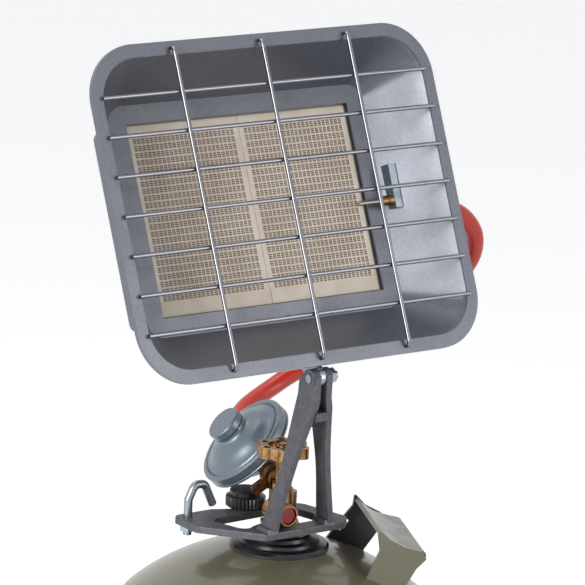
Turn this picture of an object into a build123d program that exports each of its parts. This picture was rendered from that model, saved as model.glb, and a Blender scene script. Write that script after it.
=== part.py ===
from build123d import *
from math import radians, sin, cos, tan, sqrt
import os

# Propane heater on a 5 kg gas cylinder, in millimetres. +Z is up, -Y is the front, and the origin
# is on the cylinder's axis, on the floor.

# Cylinder
SHELL_R = 114.5
SHELL_WALL = 3.0
DOME_R = 160.0
DOME_TOP = 398.0
KNUCKLE_R = 26.0
SHELL_BOTTOM = 24.0
NECK_R = 20.0
NECK_TOP = 405.0
FOOT_R = 98.0
FOOT_HEIGHT = 42.0
FOOT_WALL = 3.0

# Stand casting
PLATE_TOP = 414.0
PLATE_THICK = 5.0
LEG_THICK = 4.5
LEG_BASE_X = 24.0
LEG_TOP_X = 4.75
HINGE = (0, -36, 523.5)
BOLT_R = 3.0
TONGUE_THICK = 4.5

# Heater head: its own plane leans back, x across and y up along the face, z out of the face
HEAD_TILT = 23.5
HEAD_CENTRE = (0, 1.5, 640.7)
FLANGE_W = 284.0
FLANGE_H = 231.0
FLANGE_CORNER = 38.0
FLANGE_LIP = 12.0
FLANGE_Z = -4.0
SHEET = 1.2
BASE_W = 214.0
BASE_H = 160.0
BASE_Y = 1.5
BASE_Z = -44.0
WINDOW_W = 186.0
WINDOW_H = 134.0
PLAQUE_W = 91.6
PLAQUE_H = 132.0
PLAQUE_THICK = 13.0
PLAQUE_FRONT = -47.5
BOX_DEPTH = 26.0
WIRE_R = 1.45
WIRE_PITCH = 26.8
UPRIGHT_X = 72.4
WIRE_ROWS = 7

# Valve, regulator and hose
HANDWHEEL_R = 19.0
HANDWHEEL_Z = 459.5
HANDWHEEL_THICK = 7.5
REG_CENTRE = Vector(9.6, 55.2, 451.1)
REG_AXIS = Vector(-0.71, 0.18, 0.68).normalized()
REG_R = 36.0
PIPE_DROP = 11.0
STEM_R = 5.0
PORT_Y = -8.0
PORT_Z = -72.0
HOSE_D = 13.0

HEAD = Plane(origin=HEAD_CENTRE, x_dir=(1, 0, 0),
             z_dir=(0, -cos(radians(HEAD_TILT)), sin(radians(HEAD_TILT))))
HEAD_AXIS = Axis(HEAD.origin, HEAD.z_dir)
REG = Plane(origin=REG_CENTRE, x_dir=(0.3227, 0.9432, 0.0872), z_dir=REG_AXIS)

os.makedirs("parts", exist_ok=True)


def keep(piece, name):
    """Label a finished piece and write it to its own file."""
    piece.label = name
    export_step(piece, f"parts/{name}.step")


# Cylinder: a domed pressure shell with a hollow inside, standing on a rolled foot ring
def shell_profile(inset):
    """Half section of the vessel: crown arcs, knuckles and the straight wall, moved in by inset."""
    wall_x = SHELL_R - inset
    crown_r = DOME_R - inset
    knuckle = KNUCKLE_R - inset
    reach = wall_x - knuckle
    drop = sqrt((crown_r - knuckle) ** 2 - reach ** 2)
    top_mid = DOME_TOP - DOME_R
    knuckle_z = top_mid + drop
    tangent = (reach / (crown_r - knuckle) * crown_r, top_mid + drop / (crown_r - knuckle) * crown_r)
    low_mid = SHELL_BOTTOM + DOME_R
    low_knuckle_z = low_mid - drop
    low_tangent = (tangent[0], low_mid - (tangent[1] - top_mid))
    top = (0, DOME_TOP - inset)
    bottom = (0, SHELL_BOTTOM + inset)
    crown = ThreePointArc(top, (crown_r * sin(0.3), top_mid + crown_r * cos(0.3)), tangent)
    turn = (wall_x - knuckle + knuckle * cos(radians(35)), knuckle_z + knuckle * sin(radians(35)))
    ThreePointArc(crown @ 1, turn, (wall_x, knuckle_z))
    Line((wall_x, knuckle_z), (wall_x, low_knuckle_z))
    low_turn = (turn[0], low_knuckle_z - knuckle * sin(radians(35)))
    ThreePointArc((wall_x, low_knuckle_z), low_turn, low_tangent)
    ThreePointArc(low_tangent, (crown_r * sin(0.3), low_mid - crown_r * cos(0.3)), bottom)
    Line(bottom, top)


with BuildPart() as shell:
    with BuildSketch(Plane.XZ):
        with BuildLine():
            shell_profile(0)
        make_face()
    revolve(axis=Axis.Z)
    with BuildSketch(Plane.XZ):
        with BuildLine():
            shell_profile(SHELL_WALL)
        make_face()
    revolve(axis=Axis.Z, mode=Mode.SUBTRACT)
    with BuildSketch(Plane.XY.offset(DOME_TOP - 12)):
        Circle(NECK_R - 3)
    extrude(amount=NECK_TOP - DOME_TOP + 12)
    with BuildSketch(Plane.XY.offset(DOME_TOP - 12)):
        Circle(NECK_R - 9)
    extrude(amount=NECK_TOP - DOME_TOP + 12, mode=Mode.SUBTRACT)
keep(shell.part, "cylinder_shell")

with BuildPart() as foot:
    with BuildSketch(Plane.XY):
        Circle(FOOT_R + 2)
        Circle(FOOT_R - FOOT_WALL - 1, mode=Mode.SUBTRACT)
    extrude(amount=4)
    with BuildSketch(Plane.XY.offset(4)):
        Circle(FOOT_R)
        Circle(FOOT_R - FOOT_WALL, mode=Mode.SUBTRACT)
    extrude(amount=FOOT_HEIGHT + 20)
    # The ring's upper edge follows the lower dome that it is welded to
    with BuildSketch(Plane.XZ):
        with BuildLine():
            shell_profile(0)
        make_face()
    revolve(axis=Axis.Z, mode=Mode.SUBTRACT)
    # Vent slots, so that the ring drains
    with BuildSketch(Plane.XZ):
        with Locations((0, 20)):
            SlotOverall(46, 12)
    extrude(amount=FOOT_R + 10, both=True, mode=Mode.SUBTRACT)
keep(foot.part, "cylinder_foot_ring")

with BuildPart() as neck_ring:
    # A stepped collar that lies on the crown round the neck
    with BuildSketch(Plane.XZ):
        Polygon((NECK_R - 3, 388), (34.5, 388), (34.5, 396.4), (33, 397.8), (28, 398.8), (27, 400.8), (22.5, 401.8),
                (21.5, 404), (20, NECK_TOP), (NECK_R - 3, NECK_TOP), align=None)
    revolve(axis=Axis.Z)
    with BuildSketch(Plane.XZ):
        with BuildLine():
            shell_profile(0)
        make_face()
    revolve(axis=Axis.Z, mode=Mode.SUBTRACT)
keep(neck_ring.part, "neck_ring")

# Carrying handle: a bent sheet bridge on two straps, on one side of the shoulder
GRIP_LENGTH = 79.0
GRIP_P = 62.3
GRIP_Z = 417.0
GRIP_THICK = 2.6
GRIP = Plane(origin=(0, 0, GRIP_Z), x_dir=(0.906, -0.424, 0), z_dir=(-0.424, -0.906, 0))


def dome_cutter():
    """The vessel's outside, as a solid to cut feet with."""
    with BuildPart() as cutter:
        with BuildSketch(Plane.XZ):
            with BuildLine():
                shell_profile(0)
            make_face()
        revolve(axis=Axis.Z)
    return cutter.part


VESSEL = dome_cutter()
with BuildPart() as bridge:
    with BuildSketch(GRIP.offset(-GRIP_LENGTH / 2)) as bridge_section:
        with BuildLine():
            top = Spline((GRIP_P, 0), (GRIP_P + 6.5, -6.4), (GRIP_P + 18, -12.3), (GRIP_P + 30, -15.4))
            lip = RadiusArc(top @ 1, (GRIP_P + 32.5, -21.5), 4)
            Line(lip @ 1, (GRIP_P + 29.6, -21.0))
            Line((GRIP_P + 29.6, -21.0), (GRIP_P + 28.4, -18.2))
            under = Spline((GRIP_P + 28.4, -18.2), (GRIP_P + 17, -15.1), (GRIP_P + 5.2, -9.2), (GRIP_P - 1.8, -2.4))
            Line(under @ 1, top @ 0)
        make_face()
    extrude(amount=GRIP_LENGTH)
keep(bridge.part, "handle_bridge")

with BuildPart() as front_strap:
    with BuildSketch(GRIP.offset(GRIP_LENGTH / 2)):
        Polygon((GRIP_P - 1.8, -2.4), (GRIP_P, -14), (GRIP_P - 9.4, -37), (GRIP_P - 16, -52), (GRIP_P + 12, -52),
                (GRIP_P + 21, -37), (GRIP_P + 26, -28), (GRIP_P + 33, -21), (GRIP_P + 30, -15.4),
                (GRIP_P + 18, -12.3), (GRIP_P + 6.5, -6.4), (GRIP_P, 0), align=None)
    extrude(amount=GRIP_THICK)
    add(VESSEL, mode=Mode.SUBTRACT)
keep(front_strap.part, "handle_front_strap")

with BuildPart() as rear_strap:
    with BuildSketch(GRIP.offset(-GRIP_LENGTH / 2)):
        Polygon((GRIP_P - 1.8, 0.6), (GRIP_P - 2.6, -6.6), (GRIP_P - 9, -14.7), (GRIP_P - 4.5, -18), (GRIP_P - 11, -25),
                (GRIP_P - 15, -22.5), (GRIP_P - 25, -36.2), (GRIP_P - 34, -48), (GRIP_P - 2, -52),
                (GRIP_P + 16.5, -24.9), (GRIP_P + 18, -12.3), (GRIP_P + 6.5, -6.4), (GRIP_P, 0.6), align=None)
    extrude(amount=-GRIP_THICK)
    add(VESSEL, mode=Mode.SUBTRACT)
keep(rear_strap.part, "handle_rear_strap")

# Stand casting: a plate that slides under the valve, and two strap legs that close to a clevis
with BuildPart() as stand:
    with BuildSketch(Plane.XY.offset(PLATE_TOP - PLATE_THICK)) as plate_outline:
        with BuildLine():
            FilletPolyline((-30, -27), (36, -27), (45, -17), (36, 21), (26, 32), (-18, 36), (-30, 41), (-62, 41),
                           (-62, 12), radius=5, close=True)
        make_face()
        with BuildLine(mode=Mode.ADD):
            slot = FilletPolyline((-46, 20), (-38, -7), (-18, -15), (18, -15), (28, -4), (24, 14), (6, 22), radius=6,
                                  close=True)
        make_face(slot, mode=Mode.SUBTRACT)
        with Locations((-54, 34)):
            Circle(BOLT_R + 0.3, mode=Mode.SUBTRACT)
    extrude(amount=PLATE_THICK)
    fillet(stand.faces().sort_by(Axis.Z)[-1].outer_wire().edges(), 1.0)
    for side in (-1, 1):
        # Side outline of a leg: an upright back edge and a front edge that reaches forward
        with BuildPart(mode=Mode.PRIVATE) as web:
            with BuildSketch(Plane.YZ.offset(-40)):
                with BuildLine():
                    front = Spline((-27, PLATE_TOP - 2), (-29.5, PLATE_TOP + 24), (-34, PLATE_TOP + 54),
                                   (-39, PLATE_TOP + 75), (-43, PLATE_TOP + 90))
                    Line(front @ 1, (-43.5, PLATE_TOP + 112.5))
                    Line((-43.5, PLATE_TOP + 112.5), (-42, PLATE_TOP + 112.5))
                    ThreePointArc((-42, PLATE_TOP + 112.5), (HINGE[1], HINGE[2] + 6.5), (-30, PLATE_TOP + 112.5))
                    Line((-30, PLATE_TOP + 112.5), (-24.5, PLATE_TOP + 108))
                    back = Spline((-24.5, PLATE_TOP + 108), (-22, PLATE_TOP + 68), (-20.5, PLATE_TOP + 42),
                                  (-14.4, PLATE_TOP + 8), (-13, PLATE_TOP - 2))
                    Line(back @ 1, front @ 0)
                make_face()
            extrude(amount=80)
        with BuildPart(mode=Mode.PRIVATE) as strap:
            # Front outline of a leg: it leans in from its foot, then stands upright at the clevis
            with BuildSketch(Plane.XZ.offset(-20)):
                with BuildLine():
                    Polyline((side * (LEG_BASE_X + LEG_THICK / 2), PLATE_TOP - 2),
                             (side * (LEG_TOP_X + LEG_THICK / 2), PLATE_TOP + 96),
                             (side * (LEG_TOP_X + LEG_THICK / 2), PLATE_TOP + 130),
                             (side * (LEG_TOP_X - LEG_THICK / 2), PLATE_TOP + 130),
                             (side * (LEG_TOP_X - LEG_THICK / 2), PLATE_TOP + 95),
                             (side * (LEG_BASE_X - LEG_THICK / 2), PLATE_TOP - 2), close=True)
                make_face()
            extrude(amount=90)
            add(web.part, mode=Mode.INTERSECT)
        add(strap.part)
        # Foot pad where the strap runs into the plate
        with BuildSketch(Plane.XY.offset(PLATE_TOP - 1)):
            with Locations((side * LEG_BASE_X, -19)):
                RectangleRounded(LEG_THICK + 6, 18, 3)
        extrude(amount=3.5, taper=20)
    # Web between the legs, below the clevis
    with BuildSketch(Plane.YZ.offset(-LEG_TOP_X)):
        with BuildLine():
            Polyline((-42, PLATE_TOP + 80), (-43, PLATE_TOP + 86), (-23, PLATE_TOP + 86), (-22, PLATE_TOP + 70),
                     (-30, PLATE_TOP + 73), close=True)
        make_face()
    extrude(amount=2 * LEG_TOP_X)
    with BuildSketch(Plane.YZ.offset(-LEG_TOP_X - LEG_THICK / 2)):
        with Locations((HINGE[1], HINGE[2])):
            Circle(6.5)
    extrude(amount=-0.6)
    with BuildSketch(Plane.YZ.offset(LEG_TOP_X + LEG_THICK / 2)):
        with Locations((HINGE[1], HINGE[2])):
            Circle(6.5)
    extrude(amount=0.6)
    with BuildSketch(Plane.YZ.offset(-20)):
        with Locations((HINGE[1], HINGE[2])):
            Circle(BOLT_R + 0.05)
    extrude(amount=40, mode=Mode.SUBTRACT)
keep(stand.part, "stand_casting")

# Hook bolt that clamps the plate, with its nut under the plate
HOOK_X, HOOK_Y = -54.0, 34.0
with BuildPart() as hook:
    with BuildLine() as hook_path:
        FilletPolyline((HOOK_X, HOOK_Y, PLATE_TOP - PLATE_THICK - 8), (HOOK_X, HOOK_Y, PLATE_TOP + 12),
                       (HOOK_X + 5, HOOK_Y, PLATE_TOP + 22), (HOOK_X + 13, HOOK_Y, PLATE_TOP + 21.5),
                       (HOOK_X + 20.6, HOOK_Y, PLATE_TOP + 5.5), radius=5)
    with BuildSketch(Plane(origin=hook_path.line @ 0, z_dir=hook_path.line % 0)):
        Circle(BOLT_R)
    sweep()
    fillet(hook.edges().filter_by(GeomType.CIRCLE).sort_by(Axis.X)[-1], 0.8)
keep(hook.part, "hook_bolt")

with BuildPart() as hook_nut:
    with BuildSketch(Plane.XY.offset(PLATE_TOP - PLATE_THICK)):
        with Locations((HOOK_X, HOOK_Y)):
            RegularPolygon(5.6, 6)
            Circle(BOLT_R + 0.05, mode=Mode.SUBTRACT)
    extrude(amount=-5)
keep(hook_nut.part, "hook_nut")

RELIEF = Plane(origin=(-9.4, -2, NECK_TOP + 18), x_dir=(1, 0, 0), z_dir=(0, -1, 0))

VALVE_OUT = -41.4


def gas_line(x):
    """A point on the regulator's pipe axis, x along it from under the regulator's middle."""
    return REG_CENTRE + REG.x_dir * x - REG_AXIS * PIPE_DROP


# Valve: body with an outlet branch, a relief branch, the bonnet, the spindle and the lobed wheel
with BuildPart() as valve:
    with BuildSketch(Plane.XY.offset(NECK_TOP)) as hexagon:
        RegularPolygon(15, 6)
    extrude(amount=7)
    with BuildSketch(Plane.XY.offset(NECK_TOP + 7)):
        Circle(8.5)
    extrude(amount=24)
    with BuildSketch(Plane(origin=gas_line(VALVE_OUT - 15), z_dir=REG.x_dir)):
        Circle(6.5)
    extrude(amount=10)
    with BuildSketch(RELIEF):
        Circle(8)
    extrude(amount=16)
    with BuildSketch(Plane.XY.offset(NECK_TOP + 7)):
        with Locations((9, 3)):
            Circle(5.5)
    extrude(amount=20)
    with BuildSketch(Plane.XY.offset(NECK_TOP + 31)):
        Circle(8)
    extrude(amount=20, mode=Mode.SUBTRACT)
    with BuildSketch(Plane.XY.offset(NECK_TOP + 31)):
        Circle(3)
    extrude(amount=-10, mode=Mode.SUBTRACT)
    fillet(valve.edges().filter_by(GeomType.CIRCLE).filter_by(lambda e: e.radius == 8).sort_by(Axis.Y)[0], 1.0)
keep(valve.part, "valve_body")

with BuildPart() as bonnet:
    with BuildSketch(Plane.XY.offset(NECK_TOP + 31)):
        RegularPolygon(7.5, 6)
    extrude(amount=4)
    with BuildSketch(Plane.XY.offset(NECK_TOP + 35)):
        Circle(4.6)
    extrude(amount=16)
    with BuildSketch(Plane.XY.offset(NECK_TOP + 31)):
        Circle(3.05)
    extrude(amount=20, mode=Mode.SUBTRACT)
keep(bonnet.part, "valve_bonnet")

with BuildPart() as spindle:
    with BuildSketch(Plane.XY.offset(NECK_TOP + 31)):
        Circle(3)
    extrude(amount=HANDWHEEL_Z + HANDWHEEL_THICK + 1 - NECK_TOP - 31)
keep(spindle.part, "valve_spindle")

LOBES = 6
with BuildPart() as wheel:
    with BuildSketch(Plane.XY.offset(HANDWHEEL_Z)):
        Circle(HANDWHEEL_R - 3.5)
        with PolarLocations(HANDWHEEL_R - 5.2, LOBES):
            Circle(5.2)
        with PolarLocations(HANDWHEEL_R + 1.2, LOBES, start_angle=180 / LOBES):
            Circle(4.4, mode=Mode.SUBTRACT)
        Circle(3, mode=Mode.SUBTRACT)
    extrude(amount=HANDWHEEL_THICK)
    with BuildSketch(Plane.XY.offset(HANDWHEEL_Z + HANDWHEEL_THICK)):
        Circle(10.5)
        Circle(5, mode=Mode.SUBTRACT)
    extrude(amount=-3, mode=Mode.SUBTRACT)
    with BuildSketch(Plane.XY.offset(HANDWHEEL_Z + 1)):
        with PolarLocations(HANDWHEEL_R - 5.2, LOBES):
            Circle(2.4)
    extrude(amount=HANDWHEEL_THICK, mode=Mode.SUBTRACT)
    fillet(wheel.faces().sort_by(Axis.Z)[-1].outer_wire().edges(), 0.8)
keep(wheel.part, "handwheel")

with BuildPart() as relief:
    with BuildSketch(RELIEF.offset(16)):
        Circle(8)
        Circle(6.3, mode=Mode.SUBTRACT)
    extrude(amount=5)
    chamfer(relief.edges().filter_by(GeomType.CIRCLE).group_by(Axis.Y)[0].sort_by(SortBy.RADIUS)[-1], 0.8)
keep(relief.part, "relief_valve_rim")

with BuildPart() as relief_cap:
    with BuildSketch(RELIEF.offset(16)):
        Circle(6.3)
    extrude(amount=4)
    fillet(relief_cap.faces().sort_by(Axis.Y)[0].edges(), 1.2)
keep(relief_cap.part, "relief_valve_cap")

# Dust cap of the valve outlet, put down on the plate, with its strap
CAP_X, CAP_Y = -4.0, 36.0
CAP_R = 14.0
with BuildPart() as cap:
    with BuildSketch(Plane.XY.offset(PLATE_TOP)):
        with Locations((CAP_X, CAP_Y)):
            Circle(CAP_R)
            with PolarLocations(CAP_R + 0.5, 30):
                Circle(0.9, mode=Mode.SUBTRACT)
    extrude(amount=8.5)
    with BuildSketch(Plane.XY.offset(PLATE_TOP + 8.5)):
        with Locations((CAP_X, CAP_Y)):
            Circle(CAP_R - 2.6)
    extrude(amount=4)
    chamfer(cap.faces().sort_by(Axis.Z)[-1].edges(), 0.8)
    with BuildSketch(Plane.XY.offset(PLATE_TOP)):
        with Locations((CAP_X, CAP_Y)):
            Circle(CAP_R - 3)
    extrude(amount=10, mode=Mode.SUBTRACT)
keep(cap.part, "outlet_cap")

# Regulator: two cast halves clamping a diaphragm, a spring cap, an inlet stem with its union nut
with BuildPart() as reg_lower:
    with BuildSketch(Plane.XZ):
        Polygon((0, -0.2), (REG_R - 0.9, -0.2), (REG_R, -1.0), (REG_R, -2.0), (REG_R - 0.9, -2.8), (27, -3.4), (22, -9),
                (16, -16), (12, -18.5), (0, -18.5), align=None)
    revolve(axis=Axis.Z)
reg_lower_bowl = reg_lower.part
reg_lower_bowl.location = REG.location
with BuildPart() as reg_lower:
    add(reg_lower_bowl)
    # Pipe stubs: the inlet towards the valve and the outlet towards the back
    for x_from, x_to, radius in ((VALVE_OUT + 0.2, -30, STEM_R), (-32, -8, 7.2), (8, 42, 7.2)):
        with BuildSketch(Plane(origin=gas_line(x_from), z_dir=REG.x_dir)):
            Circle(radius)
        extrude(amount=x_to - x_from)
keep(reg_lower.part, "regulator_lower_body")

with BuildPart() as diaphragm:
    with BuildSketch(REG.offset(-0.2)):
        Circle(REG_R - 1.0)
    extrude(amount=0.8)
keep(diaphragm.part, "regulator_diaphragm")

with BuildPart() as reg_bonnet:
    with BuildSketch(Plane.XZ):
        with BuildLine():
            Polyline((10.6, 0.6), (REG_R, 0.6), (REG_R, 5.6), (REG_R - 1.4, 6.6), (REG_R - 3.4, 6.8),
                     (REG_R - 4.2, 5.8), (REG_R - 5.4, 7.0))
            Spline((REG_R - 5.4, 7.0), (22, 12.5), (15, 16), (12.6, 18.5), tangents=((-1, 0.22), (-0.2, 1)))
            Polyline((12.6, 18.5), (12.6, 20), (10.6, 20), (10.6, 0.6))
        make_face()
    revolve(axis=Axis.Z)
reg_bonnet.part.location = REG.location
keep(reg_bonnet.part, "regulator_bonnet")

with BuildPart() as reg_cap:
    with BuildSketch(REG.offset(20)):
        Circle(13)
    extrude(amount=7)
    fillet(reg_cap.edges().filter_by(GeomType.CIRCLE), 1.6)
keep(reg_cap.part, "regulator_cap")

WING = Vector(-0.74, 0.30, -0.60)
WING = (WING - REG.x_dir * WING.dot(REG.x_dir)).normalized()
with BuildPart() as union_nut:
    for x_from, x_to, radius, bore in ((-43.5, VALVE_OUT, 9.5, 6.55), (VALVE_OUT, -40.4, 9.5, 5.05), (-40.4, -38.8, 8.4, 5.05),
                                       (-38.8, -36.4, 9.5, 5.05)):
        with BuildSketch(Plane(origin=gas_line(x_from), x_dir=WING, z_dir=REG.x_dir)):
            Circle(radius)
            Circle(bore, mode=Mode.SUBTRACT)
        extrude(amount=x_to - x_from)
    # One rounded wing, to tighten it by hand
    with BuildSketch(Plane(origin=gas_line(-42.8), x_dir=WING, z_dir=REG.x_dir)):
        with Locations((15.5, 0)):
            Circle(3.6)
        with Locations((12, 0)):
            Rectangle(7, 7.2)
        Circle(9, mode=Mode.SUBTRACT)
    extrude(amount=4.5)
keep(union_nut.part, "union_nut")

# Hose, from the regulator round the back to the safety valve on the head
HOSE_START = gas_line(42)
HOSE_POINTS = [(40.0, 111.5, 451.5), (52.0, 120.5, 456.3), (67.9, 126.5, 460.7), (82.8, 129.0, 466.1), (95.6, 127.5, 473.2),
               (105.3, 124.0, 478.8), (124.0, 116.0, 495.5), (150.0, 106.0, 509.0), (177, 95, 523), (202, 84, 538),
               (216.5, 74, 557), (214.5, 66.5, 579), (199, 64.5, 596.5), (179, 64.3, 604.4)]
HOSE_END = HEAD.from_local_coords(Vector(142, PORT_Y, PORT_Z))
HOSE_LAST = HEAD.from_local_coords(Vector(158, PORT_Y, PORT_Z))
route = [HOSE_START, HOSE_START + REG.x_dir * 8] + [Vector(*point) for point in HOSE_POINTS] + [HOSE_LAST, HOSE_END]


def corner_radii(points):
    """Each corner's arc is as large as its two runs allow."""
    radii = []
    for before, corner, after in zip(points, points[1:], points[2:]):
        run_in, run_out = corner - before, after - corner
        turn = radians(run_in.get_angle(run_out))
        radii.append(0.45 * min(run_in.length, run_out.length) / tan(turn / 2))
    return radii


radii = corner_radii(route)
with BuildPart() as hose:
    with BuildLine() as hose_path:
        FilletPolyline(*route, radius=radii)
    with BuildSketch(Plane(origin=hose_path.line @ 0, z_dir=hose_path.line % 0)):
        Circle(HOSE_D / 2)
    sweep()
keep(hose.part, "gas_hose")
hose_length = sum(edge.length for edge in hose_path.line.edges())
print("hose radii", [round(r) for r in radii], "length", round(hose_length),
      "volume ratio", round(hose.part.volume / (3.14159 * HOSE_D ** 2 / 4 * hose_length), 4))
print("runs", [round((b - a).length) for a, b in zip(route, route[1:])])

# Heater head. Everything from here is drawn on the head's own leaning plane.
HINGE_ON_HEAD = HEAD.to_local_coords(Vector(*HINGE))


def ring(outer, inner, corner_outer, corner_inner, z, thick):
    """A rounded frame on the head's plane, between z and z - thick."""
    with BuildSketch(HEAD.offset(z)) as frame:
        RectangleRounded(*outer, corner_outer)
        RectangleRounded(*inner, corner_inner, mode=Mode.SUBTRACT)
    extrude(frame.sketch, amount=-thick)


OPENING_W, OPENING_H = 267.0, 213.0
OPENING_CORNER = 31.0
with BuildPart() as housing:
    # Front flange with its turned lip
    ring((FLANGE_W, FLANGE_H), (OPENING_W, OPENING_H), FLANGE_CORNER, OPENING_CORNER, FLANGE_Z, SHEET)
    ring((FLANGE_W, FLANGE_H), (FLANGE_W - 2 * SHEET, FLANGE_H - 2 * SHEET), FLANGE_CORNER, FLANGE_CORNER - SHEET,
         FLANGE_Z, 3.4)
    # Sloping reflector walls, as one shell between the flange and the base panel
    for grow, mode in ((SHEET, Mode.ADD), (0, Mode.SUBTRACT)):
        with BuildSketch(HEAD.offset(FLANGE_Z if mode == Mode.SUBTRACT else FLANGE_Z - SHEET / 2)):
            RectangleRounded(OPENING_W + 2 * grow, OPENING_H + 2 * grow, OPENING_CORNER)
        with BuildSketch(HEAD.offset(BASE_Z if mode == Mode.SUBTRACT else BASE_Z - SHEET)):
            with Locations((0, BASE_Y)):
                RectangleRounded(BASE_W + 2 * grow, BASE_H + 2 * grow, 13)
        loft(mode=mode)
    with BuildSketch(HEAD.offset(BASE_Z)):
        with Locations((0, BASE_Y)):
            Rectangle(WINDOW_W, WINDOW_H)
    extrude(amount=-4, mode=Mode.SUBTRACT)
    # Holes for the guard's wire ends, the probe and the hinge tongue
    with BuildSketch(HEAD.offset(FLANGE_Z)):
        with GridLocations(UPRIGHT_X, 221, 3, 2):
            Circle(WIRE_R + 0.25)
    extrude(amount=-SHEET, mode=Mode.SUBTRACT)
    with BuildSketch(HEAD.offset(FLANGE_Z - SHEET)):
        with Locations((0, -FLANGE_H / 2)):
            Rectangle(TONGUE_THICK + 2, 8)
    extrude(amount=-6, mode=Mode.SUBTRACT)
keep(housing.part, "reflector_housing")

GUARD_Z = FLANGE_Z + WIRE_R
with BuildPart() as guard:
    for row in range(WIRE_ROWS):
        height = (row - (WIRE_ROWS - 1) / 2) * WIRE_PITCH
        reach = 135.5 if abs(height) < 70 else 134.5
        with BuildSketch(Plane(origin=HEAD.from_local_coords(Vector(-reach, height, GUARD_Z)), z_dir=(1, 0, 0))):
            Circle(WIRE_R)
        extrude(amount=2 * reach)
    for column in (-1, 0, 1):
        x = column * UPRIGHT_X
        front = GUARD_Z + 2 * WIRE_R - 0.15
        corners = [(x, -110.5, -9), (x, -110.5, front), (x, 110.5, front), (x, 110.5, -9)]
        with BuildLine(mode=Mode.PRIVATE) as upright:
            FilletPolyline(*[HEAD.from_local_coords(Vector(*corner)) for corner in corners], radius=3.5)
        with BuildSketch(Plane(origin=upright.line @ 0, z_dir=upright.line % 0)):
            Circle(WIRE_R)
        sweep(path=upright.line)
keep(guard.part, "wire_guard")

for name, side in (("ceramic_plaque_left", -1), ("ceramic_plaque_right", 1)):
    with BuildPart() as plaque:
        with BuildSketch(HEAD.offset(PLAQUE_FRONT)):
            with Locations((side * (PLAQUE_W / 2 + 0.2), BASE_Y)):
                Rectangle(PLAQUE_W, PLAQUE_H)
        extrude(amount=-PLAQUE_THICK)
        chamfer(plaque.faces().sort_by(HEAD_AXIS)[-1].edges(), 0.6)
    keep(plaque.part, name)

BOX_W, BOX_H = 192.0, 140.0
BOX_BACK = -86.0
with BuildPart() as gasket:
    with BuildSketch(HEAD.offset(PLAQUE_FRONT - 2.5)):
        with Locations((0, BASE_Y)):
            RectangleRounded(BOX_W - 2 * SHEET, BOX_H - 2 * SHEET, 6 - SHEET)
            Rectangle(2 * PLAQUE_W + 0.4, PLAQUE_H, mode=Mode.SUBTRACT)
    extrude(amount=-9)
keep(gasket.part, "plaque_gasket")

with BuildPart() as box:
    with BuildSketch(HEAD.offset(BASE_Z - SHEET)):
        with Locations((0, BASE_Y)):
            RectangleRounded(BOX_W, BOX_H, 6)
    extrude(amount=BOX_BACK - BASE_Z + SHEET)
    fillet(box.faces().sort_by(HEAD_AXIS)[0].edges(), 5)
    offset(amount=-SHEET, openings=box.faces().sort_by(HEAD_AXIS)[-1])
    with BuildSketch(HEAD.offset(BASE_Z - SHEET)):
        with Locations((0, BASE_Y)):
            RectangleRounded(BOX_W + 16, BOX_H + 14, 8)
            RectangleRounded(BOX_W - 2 * SHEET, BOX_H - 2 * SHEET, 6 - SHEET, mode=Mode.SUBTRACT)
    extrude(amount=-SHEET)
    with BuildSketch(Plane(origin=HEAD.from_local_coords(Vector(BOX_W / 2 - 6, PORT_Y, PORT_Z)), z_dir=(1, 0, 0))):
        Circle(11)
    extrude(amount=12, mode=Mode.SUBTRACT)
keep(box.part, "burner_box")


def along_x(x_from, x_to, radius, y=PORT_Y, z=PORT_Z, mode=Mode.ADD):
    """A round bar along x on the gas line's axis, in head coordinates."""
    with BuildSketch(Plane(origin=HEAD.from_local_coords(Vector(x_from, y, z)), z_dir=(1, 0, 0))) as disc:
        Circle(radius)
    extrude(disc.sketch, amount=x_to - x_from, mode=mode)


with BuildPart() as mixing_tube:
    along_x(30, 106, 10.9)
    along_x(98, 106, 12.4)
    along_x(30, 106, 9.7, mode=Mode.SUBTRACT)
    # Air windows round the open end
    for turn in range(4):
        angle = 45 + 90 * turn
        window = HEAD.from_local_coords(Vector(102, PORT_Y + 11 * sin(radians(angle)),
                                               PORT_Z + 11 * cos(radians(angle))))
        with BuildSketch(Plane(origin=window, z_dir=(1, 0, 0))):
            Circle(3.6)
        extrude(amount=2.6, both=True, mode=Mode.SUBTRACT)
keep(mixing_tube.part, "mixing_tube")

with BuildPart() as injector:
    along_x(97, 106, 3)
    along_x(101, 106, 4.5)
    along_x(97, 106, 0.6, mode=Mode.SUBTRACT)
keep(injector.part, "gas_injector")

with BuildPart() as safety_valve:
    along_x(106, 112, 12.4)
    along_x(112, 130, 9.5)
    with BuildSketch(HEAD.offset(PORT_Z + 2)):
        with Locations((121, PORT_Y)):
            RectangleRounded(18, 20, 2)
    extrude(amount=-18)
    with BuildSketch(HEAD.offset(PORT_Z - 16)):
        with Locations((121, PORT_Y)):
            Circle(8)
    extrude(amount=-6)
    with BuildSketch(HEAD.offset(PORT_Z - 22)):
        with Locations((121, PORT_Y)):
            Circle(5.55)
    extrude(amount=14, mode=Mode.SUBTRACT)
    # Side port for the thermocouple lead
    with BuildSketch(HEAD.offset(PORT_Z + 9)):
        with Locations((121, PORT_Y)):
            Circle(4.5)
    extrude(amount=5)
keep(safety_valve.part, "safety_valve_body")

with BuildPart() as button:
    with BuildSketch(HEAD.offset(PORT_Z - 15.5)):
        with Locations((121, PORT_Y)):
            Circle(5.5)
    extrude(amount=-17)
    fillet(button.edges().filter_by(GeomType.CIRCLE).sort_by(HEAD_AXIS)[0], 1.5)
keep(button.part, "safety_button")

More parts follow.
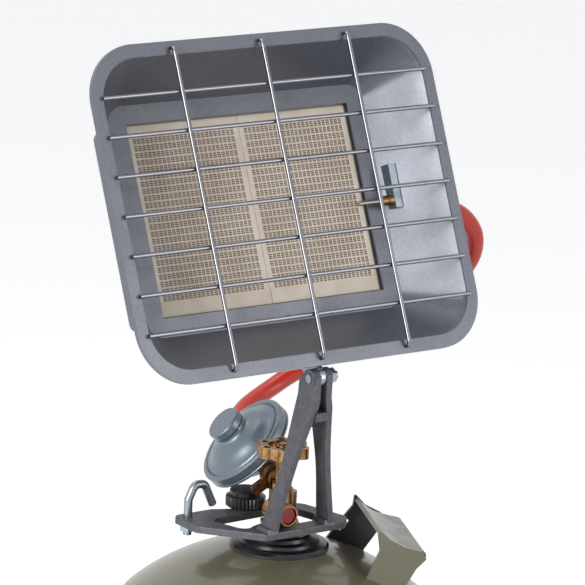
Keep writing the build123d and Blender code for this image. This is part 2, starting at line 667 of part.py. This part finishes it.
with BuildPart() as hose_nut:
    with BuildSketch(Plane(origin=HEAD.from_local_coords(Vector(130, PORT_Y, PORT_Z)), z_dir=(1, 0, 0))):
        RegularPolygon(9.5, 6)
    extrude(amount=8)
    along_x(138, 142, 7.2)
keep(hose_nut.part, "hose_nut")

# Thermocouple: bracket, nut and probe inside the reflector, and a lead behind its wall
PROBE_Y, PROBE_Z = -4.6, -35.5
BRACKET_X = 108.3
with BuildPart() as probe_bracket:
    # A leg that stands on the wall's foot, and a flange from its front edge to the wall
    with BuildSketch(Plane(origin=HEAD.from_local_coords(Vector(BRACKET_X, 0, 0)), x_dir=HEAD.y_dir, z_dir=(1, 0, 0))):
        with Locations((5, -35.8)):
            Rectangle(31, 8.6)
        with Locations((PROBE_Y, PROBE_Z)):
            Circle(1.7, mode=Mode.SUBTRACT)
    extrude(amount=1.2)
    with BuildSketch(HEAD.offset(-32.7)):
        with Locations((BRACKET_X + 2.9, 5)):
            Rectangle(5.6, 31)
    extrude(amount=1.2)
keep(probe_bracket.part, "probe_bracket")

with BuildPart() as probe_nut:
    along_x(BRACKET_X - 9.5, BRACKET_X - 4.5, 3.2, PROBE_Y, PROBE_Z)
    along_x(BRACKET_X - 4.5, BRACKET_X, 3.6, PROBE_Y, PROBE_Z)
    along_x(BRACKET_X - 9.5, BRACKET_X, 1.55, PROBE_Y, PROBE_Z, Mode.SUBTRACT)
keep(probe_nut.part, "probe_nut")

with BuildPart() as probe:
    along_x(78.5, BRACKET_X + 0.6, 1.5, PROBE_Y, PROBE_Z)
    fillet(probe.edges().filter_by(GeomType.CIRCLE).sort_by(Axis.X)[0], 1.2)
keep(probe.part, "thermocouple_probe")

# Hinge bracket: a saddle riveted under the reflector, with the tongue that the stand's ears hold
with BuildPart() as bracket:
    eye = (HINGE_ON_HEAD.Y, HINGE_ON_HEAD.Z)
    with BuildSketch(Plane(origin=HEAD.from_local_coords(Vector(-TONGUE_THICK / 2, 0, 0)), x_dir=HEAD.y_dir,
                           z_dir=(1, 0, 0))):
        with Locations(eye):
            Circle(6.5)
        Polygon((eye[0] - 2, eye[1] + 6.1), (-104.5, -11), (-85, -41.5), (-90, -43.5), (eye[0] - 2, eye[1] - 6.1),
                align=None)
        with Locations(eye):
            Circle(BOLT_R + 0.05, mode=Mode.SUBTRACT)
    extrude(amount=TONGUE_THICK)
keep(bracket.part, "hinge_tongue")

with BuildPart() as tilt_bolt:
    with BuildSketch(Plane(origin=(-LEG_TOP_X - 3.5, HINGE[1], HINGE[2]), z_dir=(1, 0, 0))):
        Circle(BOLT_R)
    extrude(amount=LEG_TOP_X + 3.5 + 15)
keep(tilt_bolt.part, "tilt_bolt")

with BuildPart() as tilt_nut:
    with BuildSketch(Plane(origin=(LEG_TOP_X + LEG_THICK / 2 + 0.6, HINGE[1], HINGE[2]), z_dir=(1, 0, 0))):
        RegularPolygon(5.7, 6)
        Circle(BOLT_R, mode=Mode.SUBTRACT)
    extrude(amount=4.6)
keep(tilt_nut.part, "tilt_nut")
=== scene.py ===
"""Propane heater: cast stand over a gas cylinder's valve, tilting radiant head, regulator and hose.

Lengths inside the functions are millimetres, as in part.py; meshes are stored in metres.
+X is to the right seen from the front, the heater faces -Y, the floor is Z = 0."""

import bmesh
import bpy
import numpy as np
from mathutils import Matrix


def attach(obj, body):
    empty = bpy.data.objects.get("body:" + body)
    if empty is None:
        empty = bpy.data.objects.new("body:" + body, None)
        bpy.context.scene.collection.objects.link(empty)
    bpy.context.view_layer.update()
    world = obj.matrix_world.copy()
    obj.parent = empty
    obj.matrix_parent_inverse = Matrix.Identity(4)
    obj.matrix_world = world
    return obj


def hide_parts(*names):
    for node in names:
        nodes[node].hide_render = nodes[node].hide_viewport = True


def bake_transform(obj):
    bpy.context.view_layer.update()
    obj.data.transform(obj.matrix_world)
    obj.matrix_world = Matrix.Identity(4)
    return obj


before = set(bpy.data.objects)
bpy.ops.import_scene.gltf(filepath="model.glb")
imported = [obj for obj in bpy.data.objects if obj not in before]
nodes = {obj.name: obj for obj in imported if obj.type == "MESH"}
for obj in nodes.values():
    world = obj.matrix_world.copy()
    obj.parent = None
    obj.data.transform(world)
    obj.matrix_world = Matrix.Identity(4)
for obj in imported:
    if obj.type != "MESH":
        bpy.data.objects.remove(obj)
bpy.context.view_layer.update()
MM = 0.001


def v3(*xyz):
    return np.array(xyz, float)


def unit(vector):
    vector = np.asarray(vector, float)
    return vector / np.linalg.norm(vector)


# The places that part.py gives
HEAD_TILT = np.radians(23.5)
HEAD_CENTRE = v3(0, 1.5, 640.7)
HEAD_X = v3(1, 0, 0)
HEAD_Y = v3(0, np.sin(HEAD_TILT), np.cos(HEAD_TILT))
HEAD_Z = v3(0, -np.cos(HEAD_TILT), np.sin(HEAD_TILT))
REG_CENTRE = v3(9.6, 55.2, 451.1)
REG_Z = unit((-0.71, 0.18, 0.68))
PIPE_WAY = v3(0.3227, 0.9432, 0.0872)
REG_X = unit(PIPE_WAY - np.dot(PIPE_WAY, REG_Z) * REG_Z)
PLATE_TOP = 414.0
CAP_AT = v3(-4, 36, PLATE_TOP)


def on_head(x, y, z):
    """Head coordinates (across, up the face, out of the face) to the row frame."""
    x, y, z = np.broadcast_arrays(x, y, z)
    return HEAD_CENTRE + x[..., None] * HEAD_X + y[..., None] * HEAD_Y + z[..., None] * HEAD_Z


# Meshes
def mesh_object(name, points, faces, body, finish, smooth=True, edge_angle=35):
    """Puts arrays of points (mm) and faces into a mesh that rides on a body."""
    data = bpy.data.meshes.new(name)
    data.from_pydata((np.asarray(points, float).reshape(-1, 3) * MM).tolist(), [],
                     [tuple(int(i) for i in face) for face in faces])
    data.validate()
    piece = bpy.data.objects.new(name, data)
    bpy.context.scene.collection.objects.link(piece)
    data.materials.append(finish)
    if smooth:
        data.shade_smooth()
        data.set_sharp_from_angle(angle=np.radians(edge_angle))
    if body:
        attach(piece, body)
    return piece


def grid_faces(rows, columns, close_rows=False, close_columns=False):
    """Quads of a rows x columns grid of points, row by row, with either way round closed on itself."""
    r = np.arange(rows if close_rows else rows - 1)
    c = np.arange(columns if close_columns else columns - 1)
    r, c = np.meshgrid(r, c, indexing="ij")
    r2, c2 = (r + 1) % rows, (c + 1) % columns
    corners = [r * columns + c, r * columns + c2, r2 * columns + c2, r2 * columns + c]
    return np.stack(corners, -1).reshape(-1, 4)


def turned(profile, origin, axis, across, steps=96, radius_of=None):
    """Surface of revolution: point = origin + r(s, a) (cos a across + sin a side) + h(s) axis,
    with r(s, a) = radius_of(r(s), a) for ribs. The profile is a list of (r, h)."""
    profile = np.asarray(profile, float)
    across, axis = unit(across), unit(axis)
    side = np.cross(axis, across)
    angle = np.linspace(0, 2 * np.pi, steps, endpoint=False)
    s, a = np.meshgrid(np.arange(len(profile)), angle, indexing="ij")
    r, h = profile[s, 0], profile[s, 1]
    if radius_of is not None:
        r = radius_of(r, a)
    outward = (r * np.cos(a))[..., None] * across + (r * np.sin(a))[..., None] * side
    points = origin + outward + h[..., None] * axis
    return points.reshape(-1, 3), grid_faces(len(profile), steps, close_columns=True)


def turned_piece(name, profile, origin, axis, across, body, finish, steps=96, radius_of=None, edge_angle=35):
    """A turned surface whose first and last profile points lie on the axis and are merged there."""
    points, faces = turned(profile, origin, axis, across, steps, radius_of)
    piece = mesh_object(name, points, faces, body, finish, edge_angle=edge_angle)
    tidy_mesh(piece, edge_angle)
    return piece


def tidy_mesh(piece, edge_angle=35):
    """Merges doubled points, drops flat faces and turns the faces outwards."""
    work = bmesh.new()
    work.from_mesh(piece.data)
    bmesh.ops.remove_doubles(work, verts=work.verts, dist=2e-6)
    bmesh.ops.dissolve_degenerate(work, dist=1e-7, edges=work.edges)
    bmesh.ops.recalc_face_normals(work, faces=work.faces)
    work.to_mesh(piece.data)
    work.free()
    piece.data.shade_smooth()
    piece.data.set_sharp_from_angle(angle=np.radians(edge_angle))


# Finishes
class Value:
    """A node's output; sums and products of it add Math nodes to the same material."""

    def __init__(self, finish, socket):
        self.finish, self.socket = finish, socket

    def maths(self, operation, *others):
        return self.finish.node("ShaderNodeMath", {"operation": operation},
                                {i: x for i, x in enumerate((self,) + others)})

    def __add__(self, other):
        return self.maths("ADD", other)

    def __mul__(self, other):
        return self.maths("MULTIPLY", other)

    def to(self, low, high, start=0.0, end=1.0):
        """start at low, end at high, and even between them."""
        limits = {"From Min": low, "From Max": high, "To Min": start, "To Max": end}
        return self.finish.node("ShaderNodeMapRange", {"clamp": True}, {"Value": self, **limits})


class Finish:
    """A material on one Principled shader, with short ways to its nodes."""

    def __init__(self, name, colour, rough, metal=0.0, coat=0.0, coat_rough=0.1):
        self.material = bpy.data.materials.new(name)
        self.material.use_nodes = True
        self.tree = self.material.node_tree
        self.shader = self.tree.nodes["Principled BSDF"]
        self.set("Base Color", (*colour, 1))
        self.set("Roughness", rough)
        self.set("Metallic", metal)
        self.set("Coat Weight", coat)
        self.set("Coat Roughness", coat_rough)
        self.place = Value(self, self.tree.nodes.new("ShaderNodeTexCoord").outputs["Object"])

    def set(self, name, value):
        if isinstance(value, Value):
            self.tree.links.new(value.socket, self.shader.inputs[name])
        else:
            self.shader.inputs[name].default_value = value

    def node(self, kind, settings=None, inputs=None, output=0):
        """One node of that kind: its settings first, then the values or links of its sockets."""
        made = self.tree.nodes.new(kind)
        for name, value in (settings or {}).items():
            setattr(made, name, value)
        for name, value in (inputs or {}).items():
            if isinstance(value, Value):
                self.tree.links.new(value.socket, made.inputs[name])
            else:
                made.inputs[name].default_value = value
        return Value(self, made.outputs[output])

    def noise(self, scale, detail=2.0, rough=0.5):
        return self.node("ShaderNodeTexNoise", {},
                         {"Vector": self.place, "Scale": scale, "Detail": detail, "Roughness": rough})

    def cells(self, scale, smooth=1.0):
        return self.node("ShaderNodeTexVoronoi", {"feature": "SMOOTH_F1"},
                         {"Vector": self.place, "Scale": scale, "Smoothness": smooth})

    def mix(self, factor, first, second):
        """first where factor is 0, second where it is 1; both colours."""
        return self.node("ShaderNodeMix", {"data_type": "RGBA"},
                         {0: factor, 6: (*first, 1), 7: (*second, 1)}, output=2)

    def bump(self, height, strength, distance):
        """distance is in metres."""
        self.set("Normal", self.node("ShaderNodeBump", {}, {"Height": height, "Strength": strength,
                                                            "Distance": distance}))


# Painted steel: faint cells of about 1.6 mm on a slightly cloudy blue-grey
hammered = Finish("hammered_grey_steel", (0.15, 0.16, 0.2), 0.40, metal=0.4, coat=0.2, coat_rough=0.25)
pebble = hammered.cells(640)
cloud = hammered.noise(28, 3)
hammered.set("Base Color", hammered.mix(pebble.to(0.2, 0.75), (0.138, 0.147, 0.172), (0.114, 0.121, 0.144)))
hammered.set("Roughness", cloud.to(0.3, 0.7, 0.30, 0.42))
hammered.bump(pebble * 0.6 + cloud * 0.4, 0.16, 0.0004)

cream = Finish("burner_ceramic", (0.60, 0.52, 0.42), 0.9)
grain = cream.noise(900, 2)
blotch = cream.noise(45, 3)
cream.set("Base Color", cream.mix(blotch.to(0.35, 0.7), (0.86, 0.76, 0.64), (0.74, 0.63, 0.51)))
cream.bump(grain, 0.4, 0.0002)

# Dark brown for the walls and floors of the plaque holes: painted shade standing for the darkness inside deep
# holes.
hole_shade_brown = Finish("ceramic_hole_painted_shade", (0.13, 0.055, 0.03), 0.95)
white_fibre = Finish("fibre_gasket", (0.6, 0.58, 0.52), 0.95)

plated = Finish("plated_wire", (0.20, 0.20, 0.225), 0.24, metal=1.0)

cast = Finish("cast_alloy", (0.13, 0.13, 0.145), 0.46, metal=0.5)
lumps = cast.noise(210, 4, 0.65)
fine = cast.noise(1100, 2)
cast.set("Base Color", cast.mix(lumps.to(0.35, 0.68), (0.080, 0.080, 0.092), (0.120, 0.120, 0.136)))
cast.set("Roughness", fine.to(0.3, 0.7, 0.42, 0.6))
cast.bump(lumps * 0.6 + fine * 0.4, 0.3, 0.0005)

zinc = Finish("zinc_plate", (0.27, 0.32, 0.36), 0.3, metal=0.9)
zinc.set("Roughness", zinc.noise(300, 3).to(0.3, 0.7, 0.22, 0.4))

brass = Finish("worn_brass", (0.55, 0.33, 0.13), 0.3, metal=1.0)
tarnish = brass.noise(160, 4, 0.6)
brass.set("Base Color", brass.mix(tarnish.to(0.35, 0.7), (0.40, 0.235, 0.10), (0.12, 0.058, 0.022)))
brass.set("Roughness", tarnish.to(0.3, 0.7, 0.22, 0.46))
brass.bump(brass.noise(700, 2), 0.2, 0.0003)

red_gloss = Finish("red_plastic", (0.25, 0.004, 0.009), 0.42)
black_satin = Finish("black_plastic", (0.006, 0.006, 0.010), 0.3)
# Near-black for the handle's rear strap is painted shade: it stands for the shadow on the strap's inner face.
black_paint = Finish("black_paint", (0.016, 0.016, 0.019), 0.38, coat=0.2)

light_alloy = Finish("regulator_alloy", (0.155, 0.19, 0.225), 0.34, metal=0.5, coat=0.15, coat_rough=0.2)
speck = light_alloy.noise(650, 2)
light_alloy.set("Roughness", speck.to(0.3, 0.7, 0.3, 0.42))
light_alloy.bump(speck, 0.25, 0.0002)

dark_rubber = Finish("diaphragm_rubber", (0.02, 0.02, 0.02), 0.7)

hose_red = Finish("hose_rubber", (0.52, 0.022, 0.006), 0.38, coat=0.15, coat_rough=0.2)
hose_red.bump(hose_red.noise(500, 2), 0.12, 0.0002)

olive = Finish("cylinder_olive_paint", (0.12, 0.11, 0.066), 0.3, coat=0.45, coat_rough=0.05)
wave = olive.noise(9, 2)
peel = olive.noise(260, 1)
olive.set("Base Color", olive.mix(wave.to(0.3, 0.7), (0.138, 0.128, 0.080), (0.118, 0.108, 0.064)))
olive.bump(peel * 0.4 + wave * 0.6, 0.08, 0.0008)

dusty_olive = Finish("handle_olive_paint", (0.115, 0.118, 0.085), 0.4, coat=0.35, coat_rough=0.15)
dust = dusty_olive.noise(60, 4, 0.6)
dusted = dusty_olive.mix(dust.to(0.4, 0.7), (0.105, 0.105, 0.070), (0.135, 0.140, 0.115))
dusty_olive.set("Base Color", dusted)
dusty_olive.set("Roughness", dust.to(0.4, 0.7, 0.28, 0.5))

probe_steel = Finish("heat_stained_steel", (0.30, 0.26, 0.23), 0.35, metal=1.0)

FINISH_OF = {
    hammered: ["reflector_housing", "burner_box", "mixing_tube"],
    cream: ["ceramic_plaque_left", "ceramic_plaque_right"],
    white_fibre: ["plaque_gasket"],
    plated: ["wire_guard"],
    cast: ["stand_casting"],
    zinc: ["hook_bolt", "hook_nut", "tilt_bolt", "tilt_nut", "hinge_tongue", "probe_bracket"],
    brass: ["valve_body", "valve_bonnet", "valve_spindle", "handwheel", "relief_valve_rim", "union_nut",
            "probe_nut", "gas_injector", "hose_nut", "safety_valve_body"],
    red_gloss: ["relief_valve_cap"],
    black_satin: ["outlet_cap", "safety_button", "neck_ring"],
    light_alloy: ["regulator_lower_body", "regulator_bonnet", "regulator_cap"],
    dark_rubber: ["regulator_diaphragm"],
    hose_red: ["gas_hose"],
    olive: ["cylinder_shell", "cylinder_foot_ring", "handle_front_strap"],
    dusty_olive: ["handle_bridge"],
    # the rear strap's near-black is painted shade
    black_paint: ["handle_rear_strap"],
    probe_steel: ["thermocouple_probe"],
}
for finish, names in FINISH_OF.items():
    for name in names:
        nodes[name].data.materials.clear()
        nodes[name].data.materials.append(finish.material)

# Gas hose, regulator to safety valve
HOSE_D = 13.0
OUTLET_REACH, PIPE_DROP, STRAIGHT_PART = 42, 11, 8
PORT_X, PORT_Y, PORT_Z, PORT_LENGTH = 142.0, -8.0, -72.0, 16.0
HOSE_START = REG_CENTRE + OUTLET_REACH * REG_X - PIPE_DROP * REG_Z
HOSE_POINTS = [HOSE_START, HOSE_START + STRAIGHT_PART * REG_X,
               (40, 111.5, 451.5), (52, 120.5, 456.3), (67.9, 126.5, 460.7), (82.8, 129, 466.1),
               (95.6, 127.5, 473.2), (105.3, 124, 478.8), (124, 116, 495.5), (150, 106, 509),
               (177, 95, 523), (202, 84, 538), (216.5, 74, 557), (214.5, 66.5, 579),
               (199, 64.5, 596.5), (179, 64.3, 604.4),
               on_head(PORT_X + PORT_LENGTH, PORT_Y, PORT_Z), on_head(PORT_X, PORT_Y, PORT_Z)]
HOSE_SAMPLES, HOSE_SIDES, HOSE_EDGE = 24, 32, 50


def nurbs_line(points, samples):
    """Places along Blender's own NURBS spline through those control points, as an array in mm."""
    curve = bpy.data.curves.new("route", "CURVE")
    curve.dimensions = "3D"
    curve.resolution_u = samples
    spline = curve.splines.new("NURBS")
    spline.points.add(len(points) - 1)
    spline.points.foreach_set("co", np.column_stack([np.array(points) * MM, np.ones(len(points))]).ravel())
    spline.order_u = 3
    spline.use_endpoint_u = True
    holder = bpy.data.objects.new("route", curve)
    bpy.context.scene.collection.objects.link(holder)
    bpy.context.view_layer.update()
    line = bpy.data.meshes.new_from_object(holder)
    place = np.zeros(len(line.vertices) * 3)
    line.vertices.foreach_get("co", place)
    bpy.data.objects.remove(holder)
    bpy.data.meshes.remove(line)
    return place.reshape(-1, 3) / MM


def swept(path, radius, sides):
    """Tube: point = path(s) + radius (cos a n(s) + sin a b(s)), with n carried along without twist."""
    path = np.asarray(path, float)
    tangent = np.gradient(path, axis=0)
    tangent /= np.linalg.norm(tangent, axis=1)[:, None]
    normal = np.zeros_like(path)
    first = np.cross(tangent[0], (0, 0, 1.0))
    normal[0] = unit(first if np.linalg.norm(first) > 0.1 else np.cross(tangent[0], (1.0, 0, 0)))
    for i in range(1, len(path)):
        normal[i] = unit(normal[i - 1] - np.dot(normal[i - 1], tangent[i]) * tangent[i])
    other = np.cross(tangent, normal)
    a = np.linspace(0, 2 * np.pi, sides, endpoint=False)
    ring = (np.cos(a)[None, :, None] * normal[:, None] + np.sin(a)[None, :, None] * other[:, None])
    points = path[:, None] + radius * ring
    faces = grid_faces(len(path), sides, close_columns=True).tolist()
    faces += [list(range(sides)), list(range((len(path) - 1) * sides, len(path) * sides))[::-1]]
    return points.reshape(-1, 3), faces


hose_line = nurbs_line(HOSE_POINTS, HOSE_SAMPLES)
points, faces = swept(hose_line, HOSE_D / 2, HOSE_SIDES)
hose = mesh_object("gas_hose_tube", points, faces, None, hose_red.material)
tidy_mesh(hose, HOSE_EDGE)
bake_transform(hose)
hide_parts("gas_hose")

# Burner plaques with their holes
PLAQUE_W, PLAQUE_H = 91.6, 132.0
PLAQUE_FRONT, PLAQUE_THICK = -47.5, 13.0
PLAQUE_GAP = 0.5
BASE_Y = 1.5
TILE_X, TILE_Y = 3.5, 4.95
TILES_X, TILES_Y = 24, 23
CELL_X, CELL_Y = 0.90, 1.34
CELLS = 3
FIELD_LIFT = 1.0
EDGE_LINE = 0.3
HOLE_HALF_X, HOLE_HALF_Y = 0.33, 0.48
RIB_HIGH = 0.35
HOLE_DEEP = 1.1


def cell_lines(first, tiles, tile, cell):
    """Places of the cells' edges along one direction, with the cells centred in each tile."""
    margin = (tile - CELLS * cell) / 2
    return (first + np.arange(tiles)[:, None] * tile + np.arange(CELLS + 1) * cell + margin).ravel()


def perforated_plaque(name, node, middle_x):
    """Block with tiles of 3 x 3 oblong holes between low ribs.
    Grid lines lie at the cells' edges and along the middle of each rib. A cell has a rim of four faces
    round a floor that is sunk by HOLE_DEEP, and the ribs stand RIB_HIGH over the cells."""
    left = middle_x - TILES_X * TILE_X / 2
    low = BASE_Y - TILES_Y * TILE_Y / 2 + FIELD_LIFT
    x_lines = cell_lines(left, TILES_X, TILE_X, CELL_X)
    y_lines = cell_lines(low, TILES_Y, TILE_Y, CELL_Y)
    x_edges = (middle_x - PLAQUE_W / 2, middle_x + PLAQUE_W / 2)
    y_edges = (BASE_Y - PLAQUE_H / 2, BASE_Y + PLAQUE_H / 2)
    # each rib has a raised line along its middle
    step = CELLS + 1
    x_mid = (x_lines[CELLS:-1:step] + x_lines[step::step]) / 2
    y_mid = (y_lines[CELLS:-1:step] + y_lines[step::step]) / 2
    xs = np.sort(np.concatenate([x_lines, x_mid, x_edges, [x_lines[0] - EDGE_LINE, x_lines[-1] + EDGE_LINE]]))
    ys = np.sort(np.concatenate([y_lines, y_mid, y_edges, [y_lines[0] - EDGE_LINE, y_lines[-1] + EDGE_LINE]]))
    on_rib_x = ~np.isin(xs, x_lines)
    on_rib_y = ~np.isin(ys, y_lines)
    gx, gy = np.meshgrid(xs, ys, indexing="ij")
    gz = PLAQUE_FRONT - RIB_HIGH + RIB_HIGH * (on_rib_x[:, None] | on_rib_y[None, :])
    count = len(xs) * len(ys)
    top = np.stack([gx, gy, gz], -1).reshape(-1, 3)
    index = np.arange(count).reshape(len(xs), len(ys))
    corner = np.stack([index[:-1, :-1], index[1:, :-1], index[1:, 1:], index[:-1, 1:]], -1)
    in_x = np.isin(xs[:-1], x_lines) & np.isin(xs[1:], x_lines)
    in_y = np.isin(ys[:-1], y_lines) & np.isin(ys[1:], y_lines)
    holed = in_x[:, None] & in_y[None, :]
    plain = corner[~holed]
    cells = corner[holed]
    centre = top[cells].mean(1)
    half = np.array([[-1, -1], [1, -1], [1, 1], [-1, 1]]) * (HOLE_HALF_X, HOLE_HALF_Y)
    rim = np.repeat(centre[:, None], 4, 1)
    rim[..., :2] += half
    floor = rim.copy()
    floor[..., 2] -= HOLE_DEEP
    first_rim = count
    first_floor = count + 4 * len(cells)
    k = np.arange(len(cells))[:, None] * 4
    turn = np.array([1, 2, 3, 0])
    rim_i, floor_i = first_rim + k + np.arange(4), first_floor + k + np.arange(4)
    frame_faces = np.stack([cells, cells[:, turn], rim_i[:, turn], rim_i], -1).reshape(-1, 4)
    wall_faces = np.stack([rim_i, rim_i[:, turn], floor_i[:, turn], floor_i], -1).reshape(-1, 4)
    edge = np.concatenate([index[:, 0], index[-1, 1:], index[-2::-1, -1], index[0, -2:0:-1]])
    back_first = first_floor + 4 * len(cells)
    back = top[edge].copy()
    back[:, 2] = PLAQUE_FRONT - PLAQUE_THICK
    around = np.arange(len(edge))
    after = (around + 1) % len(edge)
    side_faces = np.stack([edge[after], edge[around], back_first + around, back_first + after], -1)
    all_points = np.concatenate([top, rim.reshape(-1, 3), floor.reshape(-1, 3), back])
    parts = (plain, frame_faces, wall_faces, floor_i, side_faces)
    faces = [face for part in parts for face in part.tolist()] + [(back_first + around)[::-1].tolist()]
    piece = mesh_object(name, on_head(*all_points.T), faces, "head", cream.material, smooth=False)
    # The hole walls and floors take the second slot, a dark brown that is painted shade for deep holes.
    piece.data.materials.append(hole_shade_brown.material)
    shaded_from = len(plain) + len(frame_faces)
    shaded_to = shaded_from + len(wall_faces) + len(floor_i)
    slots = np.zeros(len(piece.data.polygons), np.int32)
    slots[shaded_from:shaded_to] = 1
    piece.data.polygons.foreach_set("material_index", slots)
    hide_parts(node)


for side, sign in (("left", -1), ("right", 1)):
    middle = sign * (PLAQUE_W + PLAQUE_GAP) / 2
    perforated_plaque(f"perforated_plaque_{side}", f"ceramic_plaque_{side}", middle)

# Black outlet cap
CAP_R = 14.0
CAP_RIBS, RIB_DEEP, RIB_ZONE = 30, 0.9, 1.0
CAP_STEPS = 240


def ribbed(r, a):
    """Ribs: the radius falls by RIB_DEEP w^2 with w = (1 - cos(CAP_RIBS a)) / 2, only on the grip."""
    wave = 0.5 - 0.5 * np.cos(CAP_RIBS * a)
    return np.where(r > CAP_R - RIB_ZONE, r - RIB_DEEP * wave ** 2, r)


cap_profile = [(0, 0.1), (CAP_R - 1.2, 0.1), (CAP_R - 0.5, 0.6), (CAP_R, 0.9), (CAP_R, 7.4),
               (CAP_R - 0.5, 8.0), (CAP_R - 1.8, 8.4), (CAP_R - 2.7, 8.6), (CAP_R - 2.7, 11.7),
               (CAP_R - 3.4, 12.4), (0, 12.4)]
cap = turned_piece("ribbed_outlet_cap", cap_profile, CAP_AT, (0, 0, 1), (1, 0, 0), "root",
                   black_satin.material, steps=CAP_STEPS, radius_of=ribbed)
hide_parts("outlet_cap")

# Weld seam round the cylinder
SEAM_Z, SHELL_R = 200.0, 114.5
BEAD_HIGH, BEAD_HALF, BEAD_SUNK = 0.9, 3.0, 0.2
BEAD_STEPS, SEAM_STEPS = 16, 180
bead = np.linspace(0, 2 * np.pi, BEAD_STEPS, endpoint=False)
bead_r, bead_h = SHELL_R - BEAD_SUNK + BEAD_HIGH * np.cos(bead), SEAM_Z + BEAD_HALF * np.sin(bead)
points = turned(np.stack([bead_r, bead_h], -1), v3(0, 0, 0), (0, 0, 1), (1, 0, 0), SEAM_STEPS)[0]
faces = grid_faces(BEAD_STEPS, SEAM_STEPS, close_rows=True, close_columns=True)
seam = mesh_object("cylinder_weld_seam", points, faces, "root", olive.material)
tidy_mesh(seam)

# Floor, light and camera
def seen_rays(tree):
    """1 for rays from the camera, a gloss or clear matter, so that these see the background as white."""
    kinds = tree.nodes.new("ShaderNodeLightPath").outputs
    most = kinds["Is Camera Ray"]
    for name in ("Is Glossy Ray", "Is Transmission Ray"):
        pick = tree.nodes.new("ShaderNodeMath")
        pick.operation = "MAXIMUM"
        tree.links.new(most, pick.inputs[0])
        tree.links.new(kinds[name], pick.inputs[1])
        most = pick.outputs[0]
    return most


FLOOR_LIFT, FLOOR_HALF = 0.62, 4000
floor_finish = Finish("pale_floor", (0.8, 0.8, 0.8), 0.9)
tree = floor_finish.tree
glow = tree.nodes.new("ShaderNodeEmission")
glow.inputs["Strength"].default_value = FLOOR_LIFT
lifted = tree.nodes.new("ShaderNodeAddShader")
tree.links.new(floor_finish.shader.outputs[0], lifted.inputs[0])
tree.links.new(glow.outputs[0], lifted.inputs[1])
either = tree.nodes.new("ShaderNodeMixShader")
tree.links.new(seen_rays(tree), either.inputs["Fac"])
tree.links.new(floor_finish.shader.outputs[0], either.inputs[1])
tree.links.new(lifted.outputs[0], either.inputs[2])
tree.links.new(either.outputs[0], tree.nodes["Material Output"].inputs["Surface"])
corners = [(-FLOOR_HALF, -FLOOR_HALF, 0), (FLOOR_HALF, -FLOOR_HALF, 0),
           (FLOOR_HALF, FLOOR_HALF, 0), (-FLOOR_HALF, FLOOR_HALF, 0)]
floor = mesh_object("floor", corners, [(0, 1, 2, 3)], None, floor_finish.material, smooth=False)

WORLD_COLOUR, WORLD_LEVEL = (0.9, 0.93, 1.0, 1), 0.32
world = bpy.data.worlds.new("studio")
bpy.context.scene.world = world
world.use_nodes = True
ground = world.node_tree.nodes["Background"]
white = world.node_tree.nodes.new("ShaderNodeBackground")
white.inputs["Color"].default_value = (1, 1, 1, 1)
white.inputs["Strength"].default_value = 1.0
ground.inputs["Color"].default_value = WORLD_COLOUR
ground.inputs["Strength"].default_value = WORLD_LEVEL
choose = world.node_tree.nodes.new("ShaderNodeMixShader")
world.node_tree.links.new(seen_rays(world.node_tree), choose.inputs["Fac"])
world.node_tree.links.new(ground.outputs[0], choose.inputs[1])
world.node_tree.links.new(white.outputs[0], choose.inputs[2])
world.node_tree.links.new(choose.outputs[0], world.node_tree.nodes["World Output"].inputs["Surface"])


def softbox(name, place, aim, power, width, height, colour=(1, 1, 1)):
    """A rectangular lamp at place that faces aim, both in mm."""
    lamp = bpy.data.lights.new(name, "AREA")
    lamp.shape = "RECTANGLE"
    lamp.energy, lamp.color = power, colour
    lamp.size, lamp.size_y = width * MM, height * MM
    holder = bpy.data.objects.new(name, lamp)
    bpy.context.scene.collection.objects.link(holder)
    back = unit(v3(*place) - v3(*aim))
    right = unit(np.cross((0, 0, 1.0), back))
    set_place(holder, v3(*place), right, np.cross(back, right), back)


def set_place(holder, place, right, up, back):
    """Turns an object so that its own x, y and z run along right, up and back."""
    turn = np.eye(4)
    turn[:3, 0], turn[:3, 1], turn[:3, 2], turn[:3, 3] = right, up, back, place * MM
    holder.matrix_world = Matrix(turn.tolist())


softbox("key_left", (-1800, -450, 1050), (0, 0, 560), 33, 900, 1100)
softbox("fill_right", (900, -1500, 900), (0, 0, 520), 9, 700, 1100)
softbox("top", (-200, 300, 2100), (0, 0, 560), 10, 1300, 1000)

# Camera: 36.5 degrees round to the left of the front, 13.8 degrees above, a long lens, a slight roll
AZIMUTH, ELEVATION, ROLL = np.radians(-36.5), np.radians(13.82), np.radians(2.58)
FOCAL_PX, DISTANCE = 4135.6, 2802.3
PICTURE_PX, SENSOR, CLIP_END = 585, 36, 20
AIM_X, AIM_Y = 0.48, 64.39
back = v3(np.sin(AZIMUTH) * np.cos(ELEVATION), -np.cos(AZIMUTH) * np.cos(ELEVATION), np.sin(ELEVATION))
right = unit(np.cross(-back, (0, 0, 1.0)))
up = np.cross(right, -back)
right, up = (np.cos(ROLL) * right + np.sin(ROLL) * up, -np.sin(ROLL) * right + np.cos(ROLL) * up)
place = HEAD_CENTRE - (AIM_X * right + AIM_Y * up - DISTANCE * back)
lens = bpy.data.cameras.new("camera")
lens.sensor_width = SENSOR
lens.lens = FOCAL_PX * SENSOR / PICTURE_PX
lens.clip_end = CLIP_END
camera = bpy.data.objects.new("camera", lens)
bpy.context.scene.collection.objects.link(camera)
set_place(camera, place, right, up, back)
bpy.context.scene.camera = camera
bpy.context.scene.view_settings.view_transform = "Standard"
